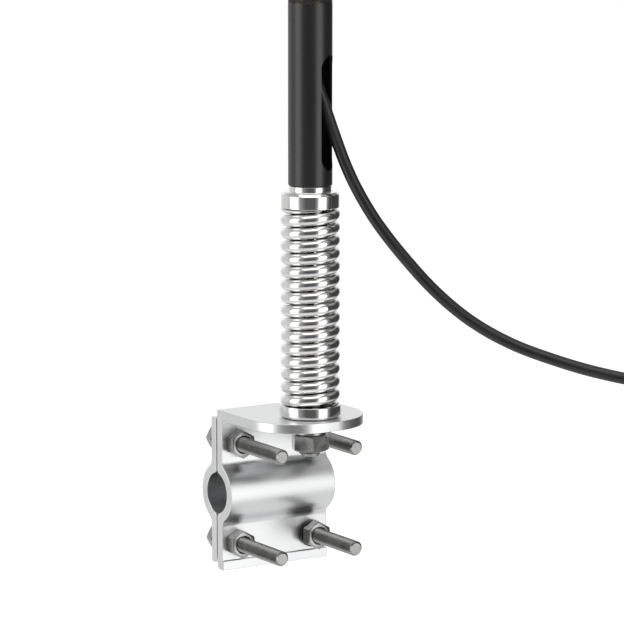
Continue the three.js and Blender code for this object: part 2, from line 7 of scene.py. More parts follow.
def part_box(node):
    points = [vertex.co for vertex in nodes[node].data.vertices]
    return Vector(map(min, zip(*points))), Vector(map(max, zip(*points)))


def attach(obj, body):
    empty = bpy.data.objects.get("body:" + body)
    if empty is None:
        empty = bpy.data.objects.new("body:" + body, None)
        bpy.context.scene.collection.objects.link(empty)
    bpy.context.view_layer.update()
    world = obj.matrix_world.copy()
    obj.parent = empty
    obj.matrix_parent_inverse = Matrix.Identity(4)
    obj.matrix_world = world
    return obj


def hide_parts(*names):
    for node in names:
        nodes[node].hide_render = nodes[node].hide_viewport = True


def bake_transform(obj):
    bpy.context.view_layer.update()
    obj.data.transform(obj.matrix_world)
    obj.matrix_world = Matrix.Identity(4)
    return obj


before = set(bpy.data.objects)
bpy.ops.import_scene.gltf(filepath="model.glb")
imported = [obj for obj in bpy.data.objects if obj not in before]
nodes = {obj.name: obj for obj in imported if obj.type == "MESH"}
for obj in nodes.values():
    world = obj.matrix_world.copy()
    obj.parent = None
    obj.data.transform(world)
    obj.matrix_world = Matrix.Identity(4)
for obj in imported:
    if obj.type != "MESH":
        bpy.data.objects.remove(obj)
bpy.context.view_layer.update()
mm = 0.001
mastReach = 41  # from the parting plane of the jaws to the mast axis
toMast = Matrix.Translation((0, -mastReach, 0))
layForward = Matrix.Rotation(math.pi / 2, 4, "X")  # a shape along Z, laid along -Y

# Camera

cameraView = {
    "azimuth": -32.0,
    "elevation": 9.4,
    "distance": 1.915,
    "aim": (0.0102, -0.0264, 0.0951),
    "lens": 212.1,
}


def placeCamera():
    side, up = math.radians(cameraView["azimuth"]), math.radians(cameraView["elevation"])
    away = Vector((math.sin(side) * math.cos(up), -math.cos(side) * math.cos(up), math.sin(up)))
    data = bpy.data.cameras.new("camera")
    data.lens = cameraView["lens"]
    data.sensor_width = 36
    data.clip_end = 100
    camera = bpy.data.objects.new("camera", data)
    bpy.context.scene.collection.objects.link(camera)
    camera.location = Vector(cameraView["aim"]) + away * cameraView["distance"]
    camera.rotation_euler = away.to_track_quat("Z", "Y").to_euler()
    bpy.context.scene.camera = camera


placeCamera()
print("camera placed")

# Finishes


def link(tree, source, target):
    tree.links.new(source, target)


def speckle(tree, place, scale, detail=3.0, stretch=(1, 1, 1), turn=(0, 0, 0)):
    mapping = tree.nodes.new("ShaderNodeMapping")
    mapping.inputs["Scale"].default_value = stretch
    mapping.inputs["Rotation"].default_value = turn
    link(tree, place, mapping.inputs["Vector"])
    noise = tree.nodes.new("ShaderNodeTexNoise")
    noise.inputs["Scale"].default_value = scale
    noise.inputs["Detail"].default_value = detail
    link(tree, mapping.outputs["Vector"], noise.inputs["Vector"])
    return noise.outputs["Fac"]


def ranged(tree, value, low, high, fromLow=0.3, fromHigh=0.7):
    node = tree.nodes.new("ShaderNodeMapRange")
    node.inputs["From Min"].default_value = fromLow
    node.inputs["From Max"].default_value = fromHigh
    node.inputs["To Min"].default_value = low
    node.inputs["To Max"].default_value = high
    link(tree, value, node.inputs["Value"])
    return node.outputs["Result"]


def twoTone(tree, value, dark, light, low=0.3, high=0.7):
    ramp = tree.nodes.new("ShaderNodeValToRGB")
    ramp.color_ramp.elements[0].position = low
    ramp.color_ramp.elements[0].color = (*dark, 1)
    ramp.color_ramp.elements[1].position = high
    ramp.color_ramp.elements[1].color = (*light, 1)
    link(tree, value, ramp.inputs["Fac"])
    return ramp.outputs["Color"]


def summed(tree, first, second, share):
    node = tree.nodes.new("ShaderNodeMath")
    node.operation = "MULTIPLY_ADD"
    node.inputs[1].default_value = share
    link(tree, second, node.inputs[0])
    link(tree, first, node.inputs[2])
    return node.outputs["Value"]


def makeFinish(name, look):
    material = bpy.data.materials.new(name)
    material.use_nodes = True
    tree = material.node_tree
    shader = tree.nodes["Principled BSDF"]
    place = tree.nodes.new("ShaderNodeTexCoord").outputs["Object"]
    broad = speckle(tree, place, look["patchScale"], 3, look.get("patchStretch", (1, 1, 1)))
    fine = speckle(tree, place, look["grainScale"], 2, look.get("grainStretch", (1, 1, 1)))
    link(tree, twoTone(tree, broad, look["dark"], look["light"]), shader.inputs["Base Color"])
    low, high = look["roughness"]
    both = summed(tree, broad, fine, 0.5)
    link(tree, ranged(tree, both, low, high, 0.5, 1.0), shader.inputs["Roughness"])
    bump = tree.nodes.new("ShaderNodeBump")
    bump.inputs["Distance"].default_value = look["bump"] * mm
    bump.inputs["Strength"].default_value = look.get("bumpStrength", 0.6)
    height = fine
    if "weave" in look:
        height = summed(tree, weave(tree, place, look["weave"]), fine, 0.2)
    link(tree, height, bump.inputs["Height"])
    link(tree, bump.outputs["Normal"], shader.inputs["Normal"])
    shader.inputs["Metallic"].default_value = look.get("metallic", 0)
    shader.inputs["Specular IOR Level"].default_value = look.get("specular", 0.5)
    shader.inputs["Coat Weight"].default_value = look.get("coat", 0)
    shader.inputs["Coat Roughness"].default_value = look.get("coatRoughness", 0.2)
    shader.inputs["Sheen Weight"].default_value = look.get("sheen", 0)
    return material


def weave(tree, place, scale):
    bands = []
    for direction in ("X", "Z"):
        wave = tree.nodes.new("ShaderNodeTexWave")
        wave.bands_direction = direction
        wave.inputs["Scale"].default_value = scale
        wave.inputs["Distortion"].default_value = 0.4
        wave.inputs["Detail"].default_value = 1
        link(tree, place, wave.inputs["Vector"])
        bands.append(wave.outputs["Fac"])
    product = tree.nodes.new("ShaderNodeMath")
    product.operation = "MULTIPLY"
    link(tree, bands[0], product.inputs[0])
    link(tree, bands[1], product.inputs[1])
    return product.outputs["Value"]


looks = {
    "millAluminium": {
        "dark": (0.8, 0.805, 0.81), "light": (0.88, 0.885, 0.89), "roughness": (0.3, 0.4),
        "metallic": 1, "patchScale": 60, "patchStretch": (0.12, 1, 1),
        "grainScale": 900, "grainStretch": (0.03, 1, 1), "bump": 0.006, "bumpStrength": 0.3,
    },
    "plainSteel": {
        "dark": (0.36, 0.36, 0.355), "light": (0.46, 0.46, 0.45), "roughness": (0.22, 0.36),
        "metallic": 1, "patchScale": 180, "grainScale": 1400, "bump": 0.015, "bumpStrength": 0.3,
    },
    # Painted shade: this near-black steel stands for the shade that the lock washers under the right-hand nuts
    # sit in behind the nuts.
    "paintedShadeSteel": {
        "dark": (0.05, 0.05, 0.052), "light": (0.1, 0.1, 0.1), "roughness": (0.35, 0.55),
        "metallic": 1, "patchScale": 200, "grainScale": 1500, "bump": 0.02,
    },
    "polishedSteel": {
        "dark": (0.82, 0.82, 0.81), "light": (0.9, 0.9, 0.89), "roughness": (0.1, 0.16),
        "metallic": 1, "patchScale": 90, "grainScale": 800, "grainStretch": (1, 1, 6),
        "bump": 0.003, "bumpStrength": 0.25,
    },
    "copperBraid": {
        "dark": (0.3, 0.14, 0.07), "light": (0.6, 0.32, 0.18), "roughness": (0.3, 0.5),
        "metallic": 1, "patchScale": 300, "grainScale": 2500, "bump": 0.05,
    },
    "satinBlack": {
        "dark": (0.011, 0.011, 0.012), "light": (0.016, 0.016, 0.017), "roughness": (0.26, 0.36),
        "patchScale": 40, "patchStretch": (1, 1, 0.1), "grainScale": 2200, "grainStretch": (1, 1, 0.15),
        "bump": 0.012, "bumpStrength": 0.3, "specular": 0.6,
    },
    "mouldedBlack": {
        "dark": (0.01, 0.01, 0.011), "light": (0.017, 0.017, 0.018), "roughness": (0.4, 0.55),
        "patchScale": 120, "grainScale": 3500, "bump": 0.03, "bumpStrength": 0.5,
    },
    "softRubber": {
        "dark": (0.009, 0.009, 0.009), "light": (0.016, 0.016, 0.016), "roughness": (0.55, 0.75),
        "patchScale": 150, "grainScale": 2600, "bump": 0.03,
    },
    "cableJacket": {
        "dark": (0.009, 0.009, 0.01), "light": (0.016, 0.016, 0.017), "roughness": (0.32, 0.46),
        "patchScale": 70, "grainScale": 1800, "bump": 0.02, "bumpStrength": 0.4, "specular": 0.55,
    },
    "brightBrass": {
        "dark": (0.5, 0.33, 0.11), "light": (0.68, 0.47, 0.18), "roughness": (0.18, 0.34),
        "metallic": 1, "patchScale": 150, "grainScale": 1600, "grainStretch": (1, 1, 8), "bump": 0.01,
    },
    "goldPlate": {
        "dark": (0.62, 0.43, 0.14), "light": (0.8, 0.58, 0.24), "roughness": (0.12, 0.25),
        "metallic": 1, "patchScale": 250, "grainScale": 2200, "bump": 0.008, "bumpStrength": 0.3,
    },
    "ferriteGrey": {
        "dark": (0.035, 0.035, 0.038), "light": (0.07, 0.07, 0.074), "roughness": (0.5, 0.75),
        "patchScale": 220, "grainScale": 1700, "bump": 0.06,
    },
    "naturalPlastic": {
        "dark": (0.72, 0.71, 0.66), "light": (0.84, 0.83, 0.79), "roughness": (0.3, 0.45),
        "patchScale": 130, "grainScale": 1300, "bump": 0.01,
    },
    "closedFoam": {
        "dark": (0.5, 0.5, 0.46), "light": (0.72, 0.72, 0.68), "roughness": (0.8, 0.95),
        "patchScale": 260, "grainScale": 900, "bump": 0.25, "bumpStrength": 0.9,
    },
    "strapWeave": {
        "dark": (0.012, 0.012, 0.014), "light": (0.028, 0.028, 0.03), "roughness": (0.75, 0.9),
        "patchScale": 400, "grainScale": 3000, "bump": 0.18, "weave": 420, "sheen": 0.4,
    },
}
finishes = {name: makeFinish(name, look) for name, look in looks.items()}
print("finishes made")

# Mesh tools, in millimetres


def arc(x, y, radius, start, end, steps):
    angles = [math.radians(start + (end - start) * i / steps) for i in range(steps + 1)]
    return [(x + radius * math.cos(a), y + radius * math.sin(a)) for a in angles]


def softCorners(points, radius, closed=True, steps=4):
    rounded = []
    count = len(points)
    for i, point in enumerate(points):
        if not closed and i in (0, count - 1):
            rounded.append(point)
            continue
        here = Vector(point)
        before, after = Vector(points[i - 1]) - here, Vector(points[(i + 1) % count]) - here
        turn = before.angle(-after) if before.length > 1e-6 and after.length > 1e-6 else 0
        reach = min(radius, before.length * 0.45, after.length * 0.45)
        if turn < math.radians(12) or reach < 0.01:
            rounded.append(point)
            continue
        first, last = here + before.normalized() * reach, here + after.normalized() * reach
        for step in range(steps + 1):
            t = step / steps
            spot = first * (1 - t) ** 2 + here * 2 * t * (1 - t) + last * t ** 2
            rounded.append(tuple(spot))
    return rounded


def lathe(profile, sides=96, closed=False):
    verts, rings, faces = [], [], []
    for radius, height in profile:
        if radius < 1e-6:
            rings.append([len(verts)])
            verts.append((0, 0, height))
            continue
        rings.append(list(range(len(verts), len(verts) + sides)))
        for side in range(sides):
            angle = 2 * math.pi * side / sides
            verts.append((radius * math.cos(angle), radius * math.sin(angle), height))
    pairs = list(zip(rings, rings[1:]))
    if closed:
        pairs.append((rings[-1], rings[0]))
    for low, high in pairs:
        for side in range(sides):
            following = (side + 1) % sides
            if len(low) == 1 and len(high) == 1:
                continue
            if len(low) == 1:
                faces.append((low[0], high[following], high[side]))
            elif len(high) == 1:
                faces.append((low[side], low[following], high[0]))
            else:
                faces.append((low[side], low[following], high[following], high[side]))
    return verts, faces


def ring(bore, diameter, foot, top, soften=0.2, sides=96):
    corners = [(bore / 2, foot), (diameter / 2, foot), (diameter / 2, top), (bore / 2, top)]
    return lathe(softCorners(corners, soften), sides, True)


def rod(diameter, foot, top, soften=0.2, sides=48):
    corners = [(0, foot), (diameter / 2, foot), (diameter / 2, top), (0, top)]
    return lathe(softCorners(corners, soften, False), sides)


def prism(outline, low, high):
    count = len(outline)
    verts = [(x, y, low) for x, y in outline] + [(x, y, high) for x, y in outline]
    faces = [tuple(reversed(range(count))), tuple(range(count, 2 * count))]
    for i in range(count):
        j = (i + 1) % count
        faces.append((i, j, count + j, count + i))
    return verts, faces


def placed(part, matrix):
    verts, faces = part
    return [tuple(matrix @ Vector(v)) for v in verts], faces


def together(*parts):
    verts, faces = [], []
    for partVerts, partFaces in parts:
        start = len(verts)
        verts += partVerts
        faces += [tuple(i + start for i in face) for face in partFaces]
    return verts, faces


def asObject(name, part):
    verts, faces = part
    mesh = bpy.data.meshes.new(name)
    mesh.from_pydata([tuple(Vector(v) * mm) for v in verts], [], faces)
    shape = bmesh.new()
    shape.from_mesh(mesh)
    bmesh.ops.recalc_face_normals(shape, faces=shape.faces)
    shape.to_mesh(mesh)
    shape.free()
    piece = bpy.data.objects.new(name, mesh)
    bpy.context.scene.collection.objects.link(piece)
    return piece


def settle(piece):
    graph = bpy.context.evaluated_depsgraph_get()
    graph.update()
    mesh = bpy.data.meshes.new_from_object(piece.evaluated_get(graph))
    piece.modifiers.clear()
    piece.data = mesh
    return piece


def combine(piece, tool, operation):
    modifier = piece.modifiers.new("combine", "BOOLEAN")
    modifier.operation = operation
    modifier.solver = "EXACT"
    modifier.object = tool
    settle(piece)
    bpy.data.objects.remove(tool)
    return piece


def softenEdges(piece, width, segments=2, angle=35):
    modifier = piece.modifiers.new("soften", "BEVEL")
    modifier.width = width * mm
    modifier.segments = segments
    modifier.limit_method = "ANGLE"
    modifier.angle_limit = math.radians(angle)
    modifier.harden_normals = True
    piece.data.shade_smooth()
    return settle(piece)


def finishPiece(piece, body, finish, replaced=(), sharp=32):
    mesh = piece.data
    mesh.materials.clear()
    mesh.materials.append(finishes[finish])
    for face in mesh.polygons:
        face.material_index = 0
    if sharp:
        mesh.shade_smooth()
        mesh.set_sharp_from_angle(angle=math.radians(sharp))
    if body:
        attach(piece, body)
    if replaced:
        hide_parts(*replaced)
    return piece


# Geometry node trees


def startTree(name, inputs):
    tree = bpy.data.node_groups.new(name, "GeometryNodeTree")
    tree.is_modifier = True
    tree.interface.new_socket(name="Geometry", in_out="OUTPUT", socket_type="NodeSocketGeometry")
    for label, kind, value in inputs:
        socket = tree.interface.new_socket(name=label, in_out="INPUT", socket_type=kind)
        if value is not None:
            socket.default_value = value
    return tree, tree.nodes.new("NodeGroupInput").outputs, tree.nodes.new("NodeGroupOutput")


def addNode(tree, kind, wires=(), **settings):
    node = tree.nodes.new(kind)
    for key, value in settings.items():
        setattr(node, key, value)
    for socket, value in dict(wires).items():
        if isinstance(value, bpy.types.NodeSocket):
            tree.links.new(value, node.inputs[socket])
        else:
            node.inputs[socket].default_value = value
    return node


def calculate(tree, operation, first, second):
    node = addNode(tree, "ShaderNodeMath", operation=operation)
    for index, value in enumerate((first, second)):
        if isinstance(value, bpy.types.NodeSocket):
            tree.links.new(value, node.inputs[index])
        else:
            node.inputs[index].default_value = value
    return node.outputs[0]


# Wires or thread ridges wound round an axis: strands side by side, swept with a many-sided section.
def makeWindingTree():
    floatKind, wholeKind = "NodeSocketFloat", "NodeSocketInt"
    tree, given, result = startTree("winding", [
        ("Radius", floatKind, 0.01), ("Height", floatKind, 0.05), ("Turns", floatKind, 5.0),
        ("Foot", floatKind, 0.0), ("Start Angle", floatKind, 0.0), ("Section Radius", floatKind, 0.001),
        ("Section Sides", wholeKind, 12), ("Section Flatness", floatKind, 1.0),
        ("Steps Per Turn", wholeKind, 32), ("Strands", wholeKind, 1), ("Anticlockwise", "NodeSocketBool", True),
        ("Material", "NodeSocketMaterial", None),
    ])
    spiral = addNode(tree, "GeometryNodeCurveSpiral", {
        "Resolution": given["Steps Per Turn"], "Rotations": given["Turns"], "Start Radius": given["Radius"],
        "End Radius": given["Radius"], "Height": given["Height"], "Reverse": given["Anticlockwise"],
    })
    upright = addNode(tree, "GeometryNodeSetCurveNormal", {"Curve": spiral.outputs[0]})
    upright.mode = "Z_UP"
    section = addNode(tree, "GeometryNodeCurvePrimitiveCircle", {
        "Resolution": given["Section Sides"], "Radius": given["Section Radius"],
    })
    flatness = addNode(tree, "ShaderNodeCombineXYZ", {"X": given["Section Flatness"], "Y": 1.0, "Z": 1.0})
    shaped = addNode(tree, "GeometryNodeTransform", {
        "Geometry": section.outputs[0], "Scale": flatness.outputs[0],
    })
    swept = addNode(tree, "GeometryNodeCurveToMesh", {
        "Curve": upright.outputs[0], "Profile Curve": shaped.outputs[0], "Fill Caps": True,
    })
    lift = addNode(tree, "ShaderNodeCombineXYZ", {"Z": given["Foot"]})
    turn = addNode(tree, "ShaderNodeCombineXYZ", {"Z": given["Start Angle"]})
    raised = addNode(tree, "GeometryNodeTransform", {
        "Geometry": swept.outputs[0], "Translation": lift.outputs[0], "Rotation": turn.outputs[0],
    })
    spots = addNode(tree, "GeometryNodePoints", {"Count": given["Strands"]})
    step = calculate(tree, "DIVIDE", 2 * math.pi, given["Strands"])
    index = addNode(tree, "GeometryNodeInputIndex").outputs[0]
    spin = addNode(tree, "ShaderNodeCombineXYZ", {"Z": calculate(tree, "MULTIPLY", step, index)})
    copies = addNode(tree, "GeometryNodeInstanceOnPoints", {
        "Points": spots.outputs[0], "Instance": raised.outputs[0], "Rotation": spin.outputs[0],
    })
    real = addNode(tree, "GeometryNodeRealizeInstances", {"Geometry": copies.outputs[0]})
    coloured = addNode(tree, "GeometryNodeSetMaterial", {
        "Geometry": real.outputs[0], "Material": given["Material"],
    })
    tree.links.new(coloured.outputs[0], result.inputs[0])
    return tree


windingTree = makeWindingTree()


def grow(name, tree, values, finish):
    piece = bpy.data.objects.new(name, bpy.data.meshes.new(name))
    bpy.context.scene.collection.objects.link(piece)
    modifier = piece.modifiers.new("grow", "NODES")
    modifier.node_group = tree
    named = {item.name: item.identifier for item in tree.interface.items_tree if item.in_out == "INPUT"}
    for label, value in values.items():
        modifier[named[label]] = value
    modifier[named["Material"]] = finishes[finish]
    return settle(piece)


def meshPart(piece):
    part = [tuple(v.co / mm) for v in piece.data.vertices], [tuple(f.vertices) for f in piece.data.polygons]
    bpy.data.objects.remove(piece)
    return part


# A screw thread's ridge, standing on a core along Z.
def threadRidge(diameter, pitch, foot, top, finish="plainSteel"):
    depth = pitch * 0.62
    return meshPart(grow("ridge", windingTree, {
        "Radius": (diameter / 2 - depth * 0.66) * mm, "Height": (top - foot) * mm,
        "Turns": (top - foot) / pitch, "Foot": foot * mm, "Section Radius": depth * 0.62 * mm,
        "Section Sides": 3, "Steps Per Turn": 28,
    }, finish))


print("winding tree made")

# Coaxial cable

cable = {
    "diameter": 6.1, "bevelSides": 5, "stepsPerTurn": 90, "runSteps": 10,
    "coilPitch": 6.15, "turnsAcross": 4, "coilRadius": 35, "coilHeight": 391, "coilGap": 0.25,
    "tubeRadius": 11.4, "sideAngle": -45.6, "endTurn": 14.25, "crossing": 0.5,
    "firstMove": 0.5, "moveStep": 0.82,
}
cableRoute = [
    (0, 0, 245.2), (0, 0, 237), (0.8, 0, 228), (3, 0, 219), (7, 0, 207), (13, 0, 190),
    (19, 0, 174.5), (26, 0, 160.5), (36, 0, 145), (50, 0, 128), (66, 0, 111.5),
    (84, 0, 97.5), (104, 0, 87), (126, 0, 79.5), (150, 0, 73.5), (175, 0, 70),
    (200, 0, 72), (221, 0, 83), (235, 0, 104), (240, 0, 131), (234, 0, 165), (220, 0, 200),
    (200, 0, 235), (175, 0.5, 268), (147, 2, 292), (115, 4, 312), (82, 7, 329),
    (66, 10.4, 335), (50, 15.2, 339.8), (35.5, 20, 343.2), (21.5, 22.7, 345.3), (8.2, 21.4, 346.4),
    (-1.7, 17.2, 346.7),
]
tailRoute = [
    (-44.2, 33.1, 403), (-44.2, 33.1, 414.6), (-42.8, 32.1, 424.1), (-39.3, 29.5, 433.6),
    (-34.2, 25.9, 443.1), (-28.4, 21.7, 452.6), (-22.6, 17.5, 462.1), (-17.5, 13.9, 471.6),
    (-14, 11.3, 481.1), (-12.6, 10.3, 490.6), (-12.6, 10.3, 504),
]


def smoothRoute(points, steps):
    spots = [Vector(p) for p in points]
    spots = [2 * spots[0] - spots[1]] + spots + [2 * spots[-1] - spots[-2]]
    route = []
    for a, b, c, d in zip(spots, spots[1:], spots[2:], spots[3:]):
        for step in range(steps):
            t = step / steps
            route.append(0.5 * (2 * b + (c - a) * t + (2 * a - 5 * b + 4 * c - d) * t ** 2
                                + (3 * b - a - 3 * c + d) * t ** 3))
    return route + [spots[-2]]


def eased(value, start, length):
    t = min(max((value - start) / length, 0), 1)
    return t * t * (3 - 2 * t)


# The wound length: four flat layers of four rings. The slow moves from ring to ring and from layer to layer
# are spaced so that no turn passes through another.
def coilRoute():
    across, pitch = cable["turnsAcross"], cable["coilPitch"]
    ringMoves, layerMoves, start = [], [], cable["firstMove"]
    for layer in range(across):
        way = -1 if layer % 2 == 0 else 1
        ringMoves += [(start + i, way) for i in range(across - 1)]
        layerMoves.append(start + across - 2 + cable["moveStep"])
        start = layerMoves[-1] + cable["moveStep"]
    half = pitch * (across - 1) / 2
    middle = cable["tubeRadius"] + cable["coilGap"] + half + cable["diameter"] / 2
    route = []
    count = round(cable["endTurn"] * cable["stepsPerTurn"])
    for step in range(count + 1):
        turn = cable["endTurn"] * step / count
        radius = cable["coilRadius"] + half
        depth = middle - half
        for start, way in ringMoves:
            radius += way * pitch * eased(turn, start, cable["crossing"])
        for start in layerMoves[:-1]:
            depth += pitch * eased(turn, start, cable["crossing"])
        angle = 2 * math.pi * turn
        route.append(Vector((-radius * math.sin(angle), depth, cable["coilHeight"] - radius * math.cos(angle))))
    return route


def makeCable():
    side = Matrix.Rotation(math.radians(cable["sideAngle"]), 3, "Z")
    coil = coilRoute()
    steps = cable["runSteps"]
    run = [side @ Vector(p) for p in cableRoute] + [coil[0], coil[6]]
    tail = [coil[-6], coil[-1]] + [Vector(p) for p in tailRoute]
    route = smoothRoute(run, steps)[:-steps - 1] + coil + smoothRoute(tail, steps)[steps + 1:]
    route = [(toMast @ p) * mm for p in route]
    curve = bpy.data.curves.new("coaxCable", "CURVE")
    curve.dimensions = "3D"
    curve.bevel_depth = cable["diameter"] * mm / 2
    curve.bevel_resolution = cable["bevelSides"]
    curve.use_fill_caps = True
    spline = curve.splines.new("POLY")
    spline.points.add(len(route) - 1)
    for point, place in zip(spline.points, route):
        point.co = (*place, 1)
    spline.use_smooth = True
    piece = bpy.data.objects.new("coaxCable", curve)
    bpy.context.scene.collection.objects.link(piece)
    curve.materials.append(finishes["cableJacket"])
    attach(piece, "mast")
    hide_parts("cable_free_run", "cable_coil", "cable_tail")
    length = sum((b - a).length for a, b in zip(route, route[1:]))
    print("cable length", round(length, 3))
    return piece, route[0], length


coaxCable, cableExit, cableLength = makeCable()
print("cable made")

# Clamp bracket

jaw = {
    "length": 64, "plate": 5, "gap": 0.8, "recessDepth": 10, "recessHalfHeight": 10.8, "wall": 5,
    "tipRadius": 2.5, "filletRadius": 5, "frontBottom": -40.5, "rearTop": 40, "rearBottom": -37.5,
    "lipHeight": 5, "lipStand": 1, "heelRadius": 2.2, "edge": 0.35,
}
shelf = {"top": 44.5, "thickness": 5, "reach": 61.5, "cornerRadius": 28, "studHole": 12.6}
bolts = {
    "diameter": 8, "length": 60, "spacingX": 45, "spacingZ": 53.4, "headFlats": 13, "headHeight": 5.3,
    "pitch": 1.25, "holeSlip": 0.4, "seat": 0.2, "flatWasher": (16, 1.6), "springWasher": (14.2, 2.2),
    "nutHeight": 6.5, "split": 0.9,
}
inner = jaw["gap"] / 2
outer = inner + jaw["plate"]


def jawOutline(bottom, top, lip):
    depth, halfHeight = jaw["recessDepth"], jaw["recessHalfHeight"]
    recess = (halfHeight ** 2 + (depth - inner) ** 2) / (2 * (depth - inner))
    centre = depth - recess
    bulge = recess + jaw["wall"]
    filletAt = outer + jaw["filletRadius"]
    filletHeight = math.sqrt((bulge + jaw["filletRadius"]) ** 2 - (filletAt - centre) ** 2)
    bulgeAngle = math.degrees(math.atan2(filletHeight, filletAt - centre))
    tipAt = inner + jaw["tipRadius"]
    tipHeight = math.sqrt((recess + jaw["tipRadius"]) ** 2 - (tipAt - centre) ** 2)
    tipAngle = math.degrees(math.atan2(tipHeight, tipAt - centre))
    fillet, tip = jaw["filletRadius"], jaw["tipRadius"]
    heel = jaw["heelRadius"]
    outline = arc(inner + heel, bottom + heel, heel, 180, 270, 6)
    if lip:
        stand = outer + jaw["lipStand"]
        outline += [(stand, bottom), (stand, bottom + jaw["lipHeight"]), (outer, bottom + jaw["lipHeight"])]
    else:
        outline += [(outer, bottom)]
    outline += arc(filletAt, -filletHeight, fillet, 180, 180 - bulgeAngle, 10)
    outline += arc(centre, 0, bulge, -bulgeAngle, bulgeAngle, 40)
    outline += arc(filletAt, filletHeight, fillet, 180 + bulgeAngle, 180, 10)
    outline += [(outer, top), (inner, top)]
    outline += arc(tipAt, tipHeight, tip, 180, 180 + tipAngle, 10)
    outline += arc(centre, 0, recess, tipAngle, -tipAngle, 36)
    outline += arc(tipAt, -tipHeight, tip, 180 - tipAngle, 180, 10)
    return outline


def jawBody(bottom, top, lip):
    stand = Matrix(((0, 0, 1, 0), (1, 0, 0, 0), (0, 1, 0, 0), (0, 0, 0, 1)))
    half = jaw["length"] / 2
    return placed(prism(jawOutline(bottom, top, lip), -half, half), stand)


def boltPlaces():
    x, z = bolts["spacingX"] / 2, bolts["spacingZ"] / 2
    return [(x, z), (x, -z), (-x, z), (-x, -z)]


def boltHoles():
    wide = bolts["diameter"] + 2 * bolts["holeSlip"]
    return [placed(rod(wide, -25, 25, 0), Matrix.Translation((x, 0, z)) @ layForward) for x, z in boltPlaces()]


def shelfOutline():
    half, radius = jaw["length"] / 2, shelf["cornerRadius"]
    back = -(inner + jaw["plate"] / 2)
    level = -shelf["reach"] + radius
    return ([(half, back), (-half, back)] + arc(-half + radius, level, radius, 180, 270, 28)
            + arc(half - radius, level, radius, 270, 360, 28))


def makeJaws():
    turned = Matrix.Rotation(math.pi, 4, "Z")
    bracket = asObject("clampBracket", placed(jawBody(jaw["frontBottom"], shelf["top"], True), turned))
    plate = asObject("plate", prism(shelfOutline(), shelf["top"] - shelf["thickness"], shelf["top"]))
    combine(bracket, plate, "UNION")
    studHole = placed(rod(shelf["studHole"], shelf["top"] - 8, shelf["top"] + 3, 0), toMast)
    combine(bracket, asObject("holes", together(studHole, *boltHoles())), "DIFFERENCE")
    softenEdges(bracket, jaw["edge"])
    finishPiece(bracket, "bracket", "millAluminium", ["front_jaw_bracket"], None)
    rear = asObject("rearJaw", jawBody(jaw["rearBottom"], jaw["rearTop"], False))
    combine(rear, asObject("holes", together(*boltHoles())), "DIFFERENCE")
    softenEdges(rear, jaw["edge"])
    finishPiece(rear, "rear_jaw", "millAluminium", ["rear_jaw"], None)


makeJaws()
print("bracket made")

# Fasteners


# A hexagon with its corners turned down, flats facing X; the ends say which faces are turned.
def hexBlank(flats, foot, top, ends=("foot", "top"), turn=0):
    corner = flats / math.sqrt(3)
    drop = (corner - flats * 0.47) * math.tan(math.radians(30))
    outline = [(corner * math.sin(math.radians(60 * i)), corner * math.cos(math.radians(60 * i)))
               for i in reversed(range(6))]
    blank = asObject("hexagon", placed(prism(outline, foot, top), Matrix.Rotation(turn, 4, "Z")))
    profile = [(0, foot)]
    profile += [(flats * 0.47, foot), (corner + 0.1, foot + drop)] if "foot" in ends else [(corner + 0.1, foot)]
    profile += [(corner + 0.1, top - drop), (flats * 0.47, top)] if "top" in ends else [(corner + 0.1, top)]
    profile += [(0, top)]
    return combine(blank, asObject("turned", lathe(profile, 96)), "INTERSECT")


def threadedRod(diameter, pitch, foot, top, chamfer=1.0):
    core = diameter - pitch * 1.1
    tip = core / 2 - chamfer * 0.4
    profile = [(0, foot), (core / 2, foot), (core / 2, top - chamfer), (tip, top), (0, top)]
    return together(lathe(profile, 40), threadRidge(diameter, pitch, foot, top - chamfer * 0.7))


def lockWasher(bore, diameter, thickness, foot):
    blank = asObject("washer", ring(bore, diameter, foot, foot + thickness, 0.15, 64))
    slope = Matrix.Rotation(math.radians(25), 4, "X")
    half = bolts["split"] / 2
    cutter = prism([(0, -half), (diameter, -half), (diameter, half), (0, half)], -6, 6)
    centred = Matrix.Translation((0, 0, foot + thickness / 2)) @ slope
    return meshPart(combine(blank, asObject("cut", placed(cutter, centred)), "DIFFERENCE"))


def makeNut(flats, foot, top, bore, turn=0):
    blank = hexBlank(flats, foot, top, turn=turn)
    mouth = [(0, foot - 1), (bore / 2 + 0.9, foot - 1), (bore / 2 + 0.6, foot), (bore / 2, foot + 0.7),
             (bore / 2, top - 0.7), (bore / 2 + 0.6, top), (bore / 2 + 0.9, top + 1), (0, top + 1)]
    return combine(blank, asObject("bore", lathe(mouth, 48)), "DIFFERENCE")


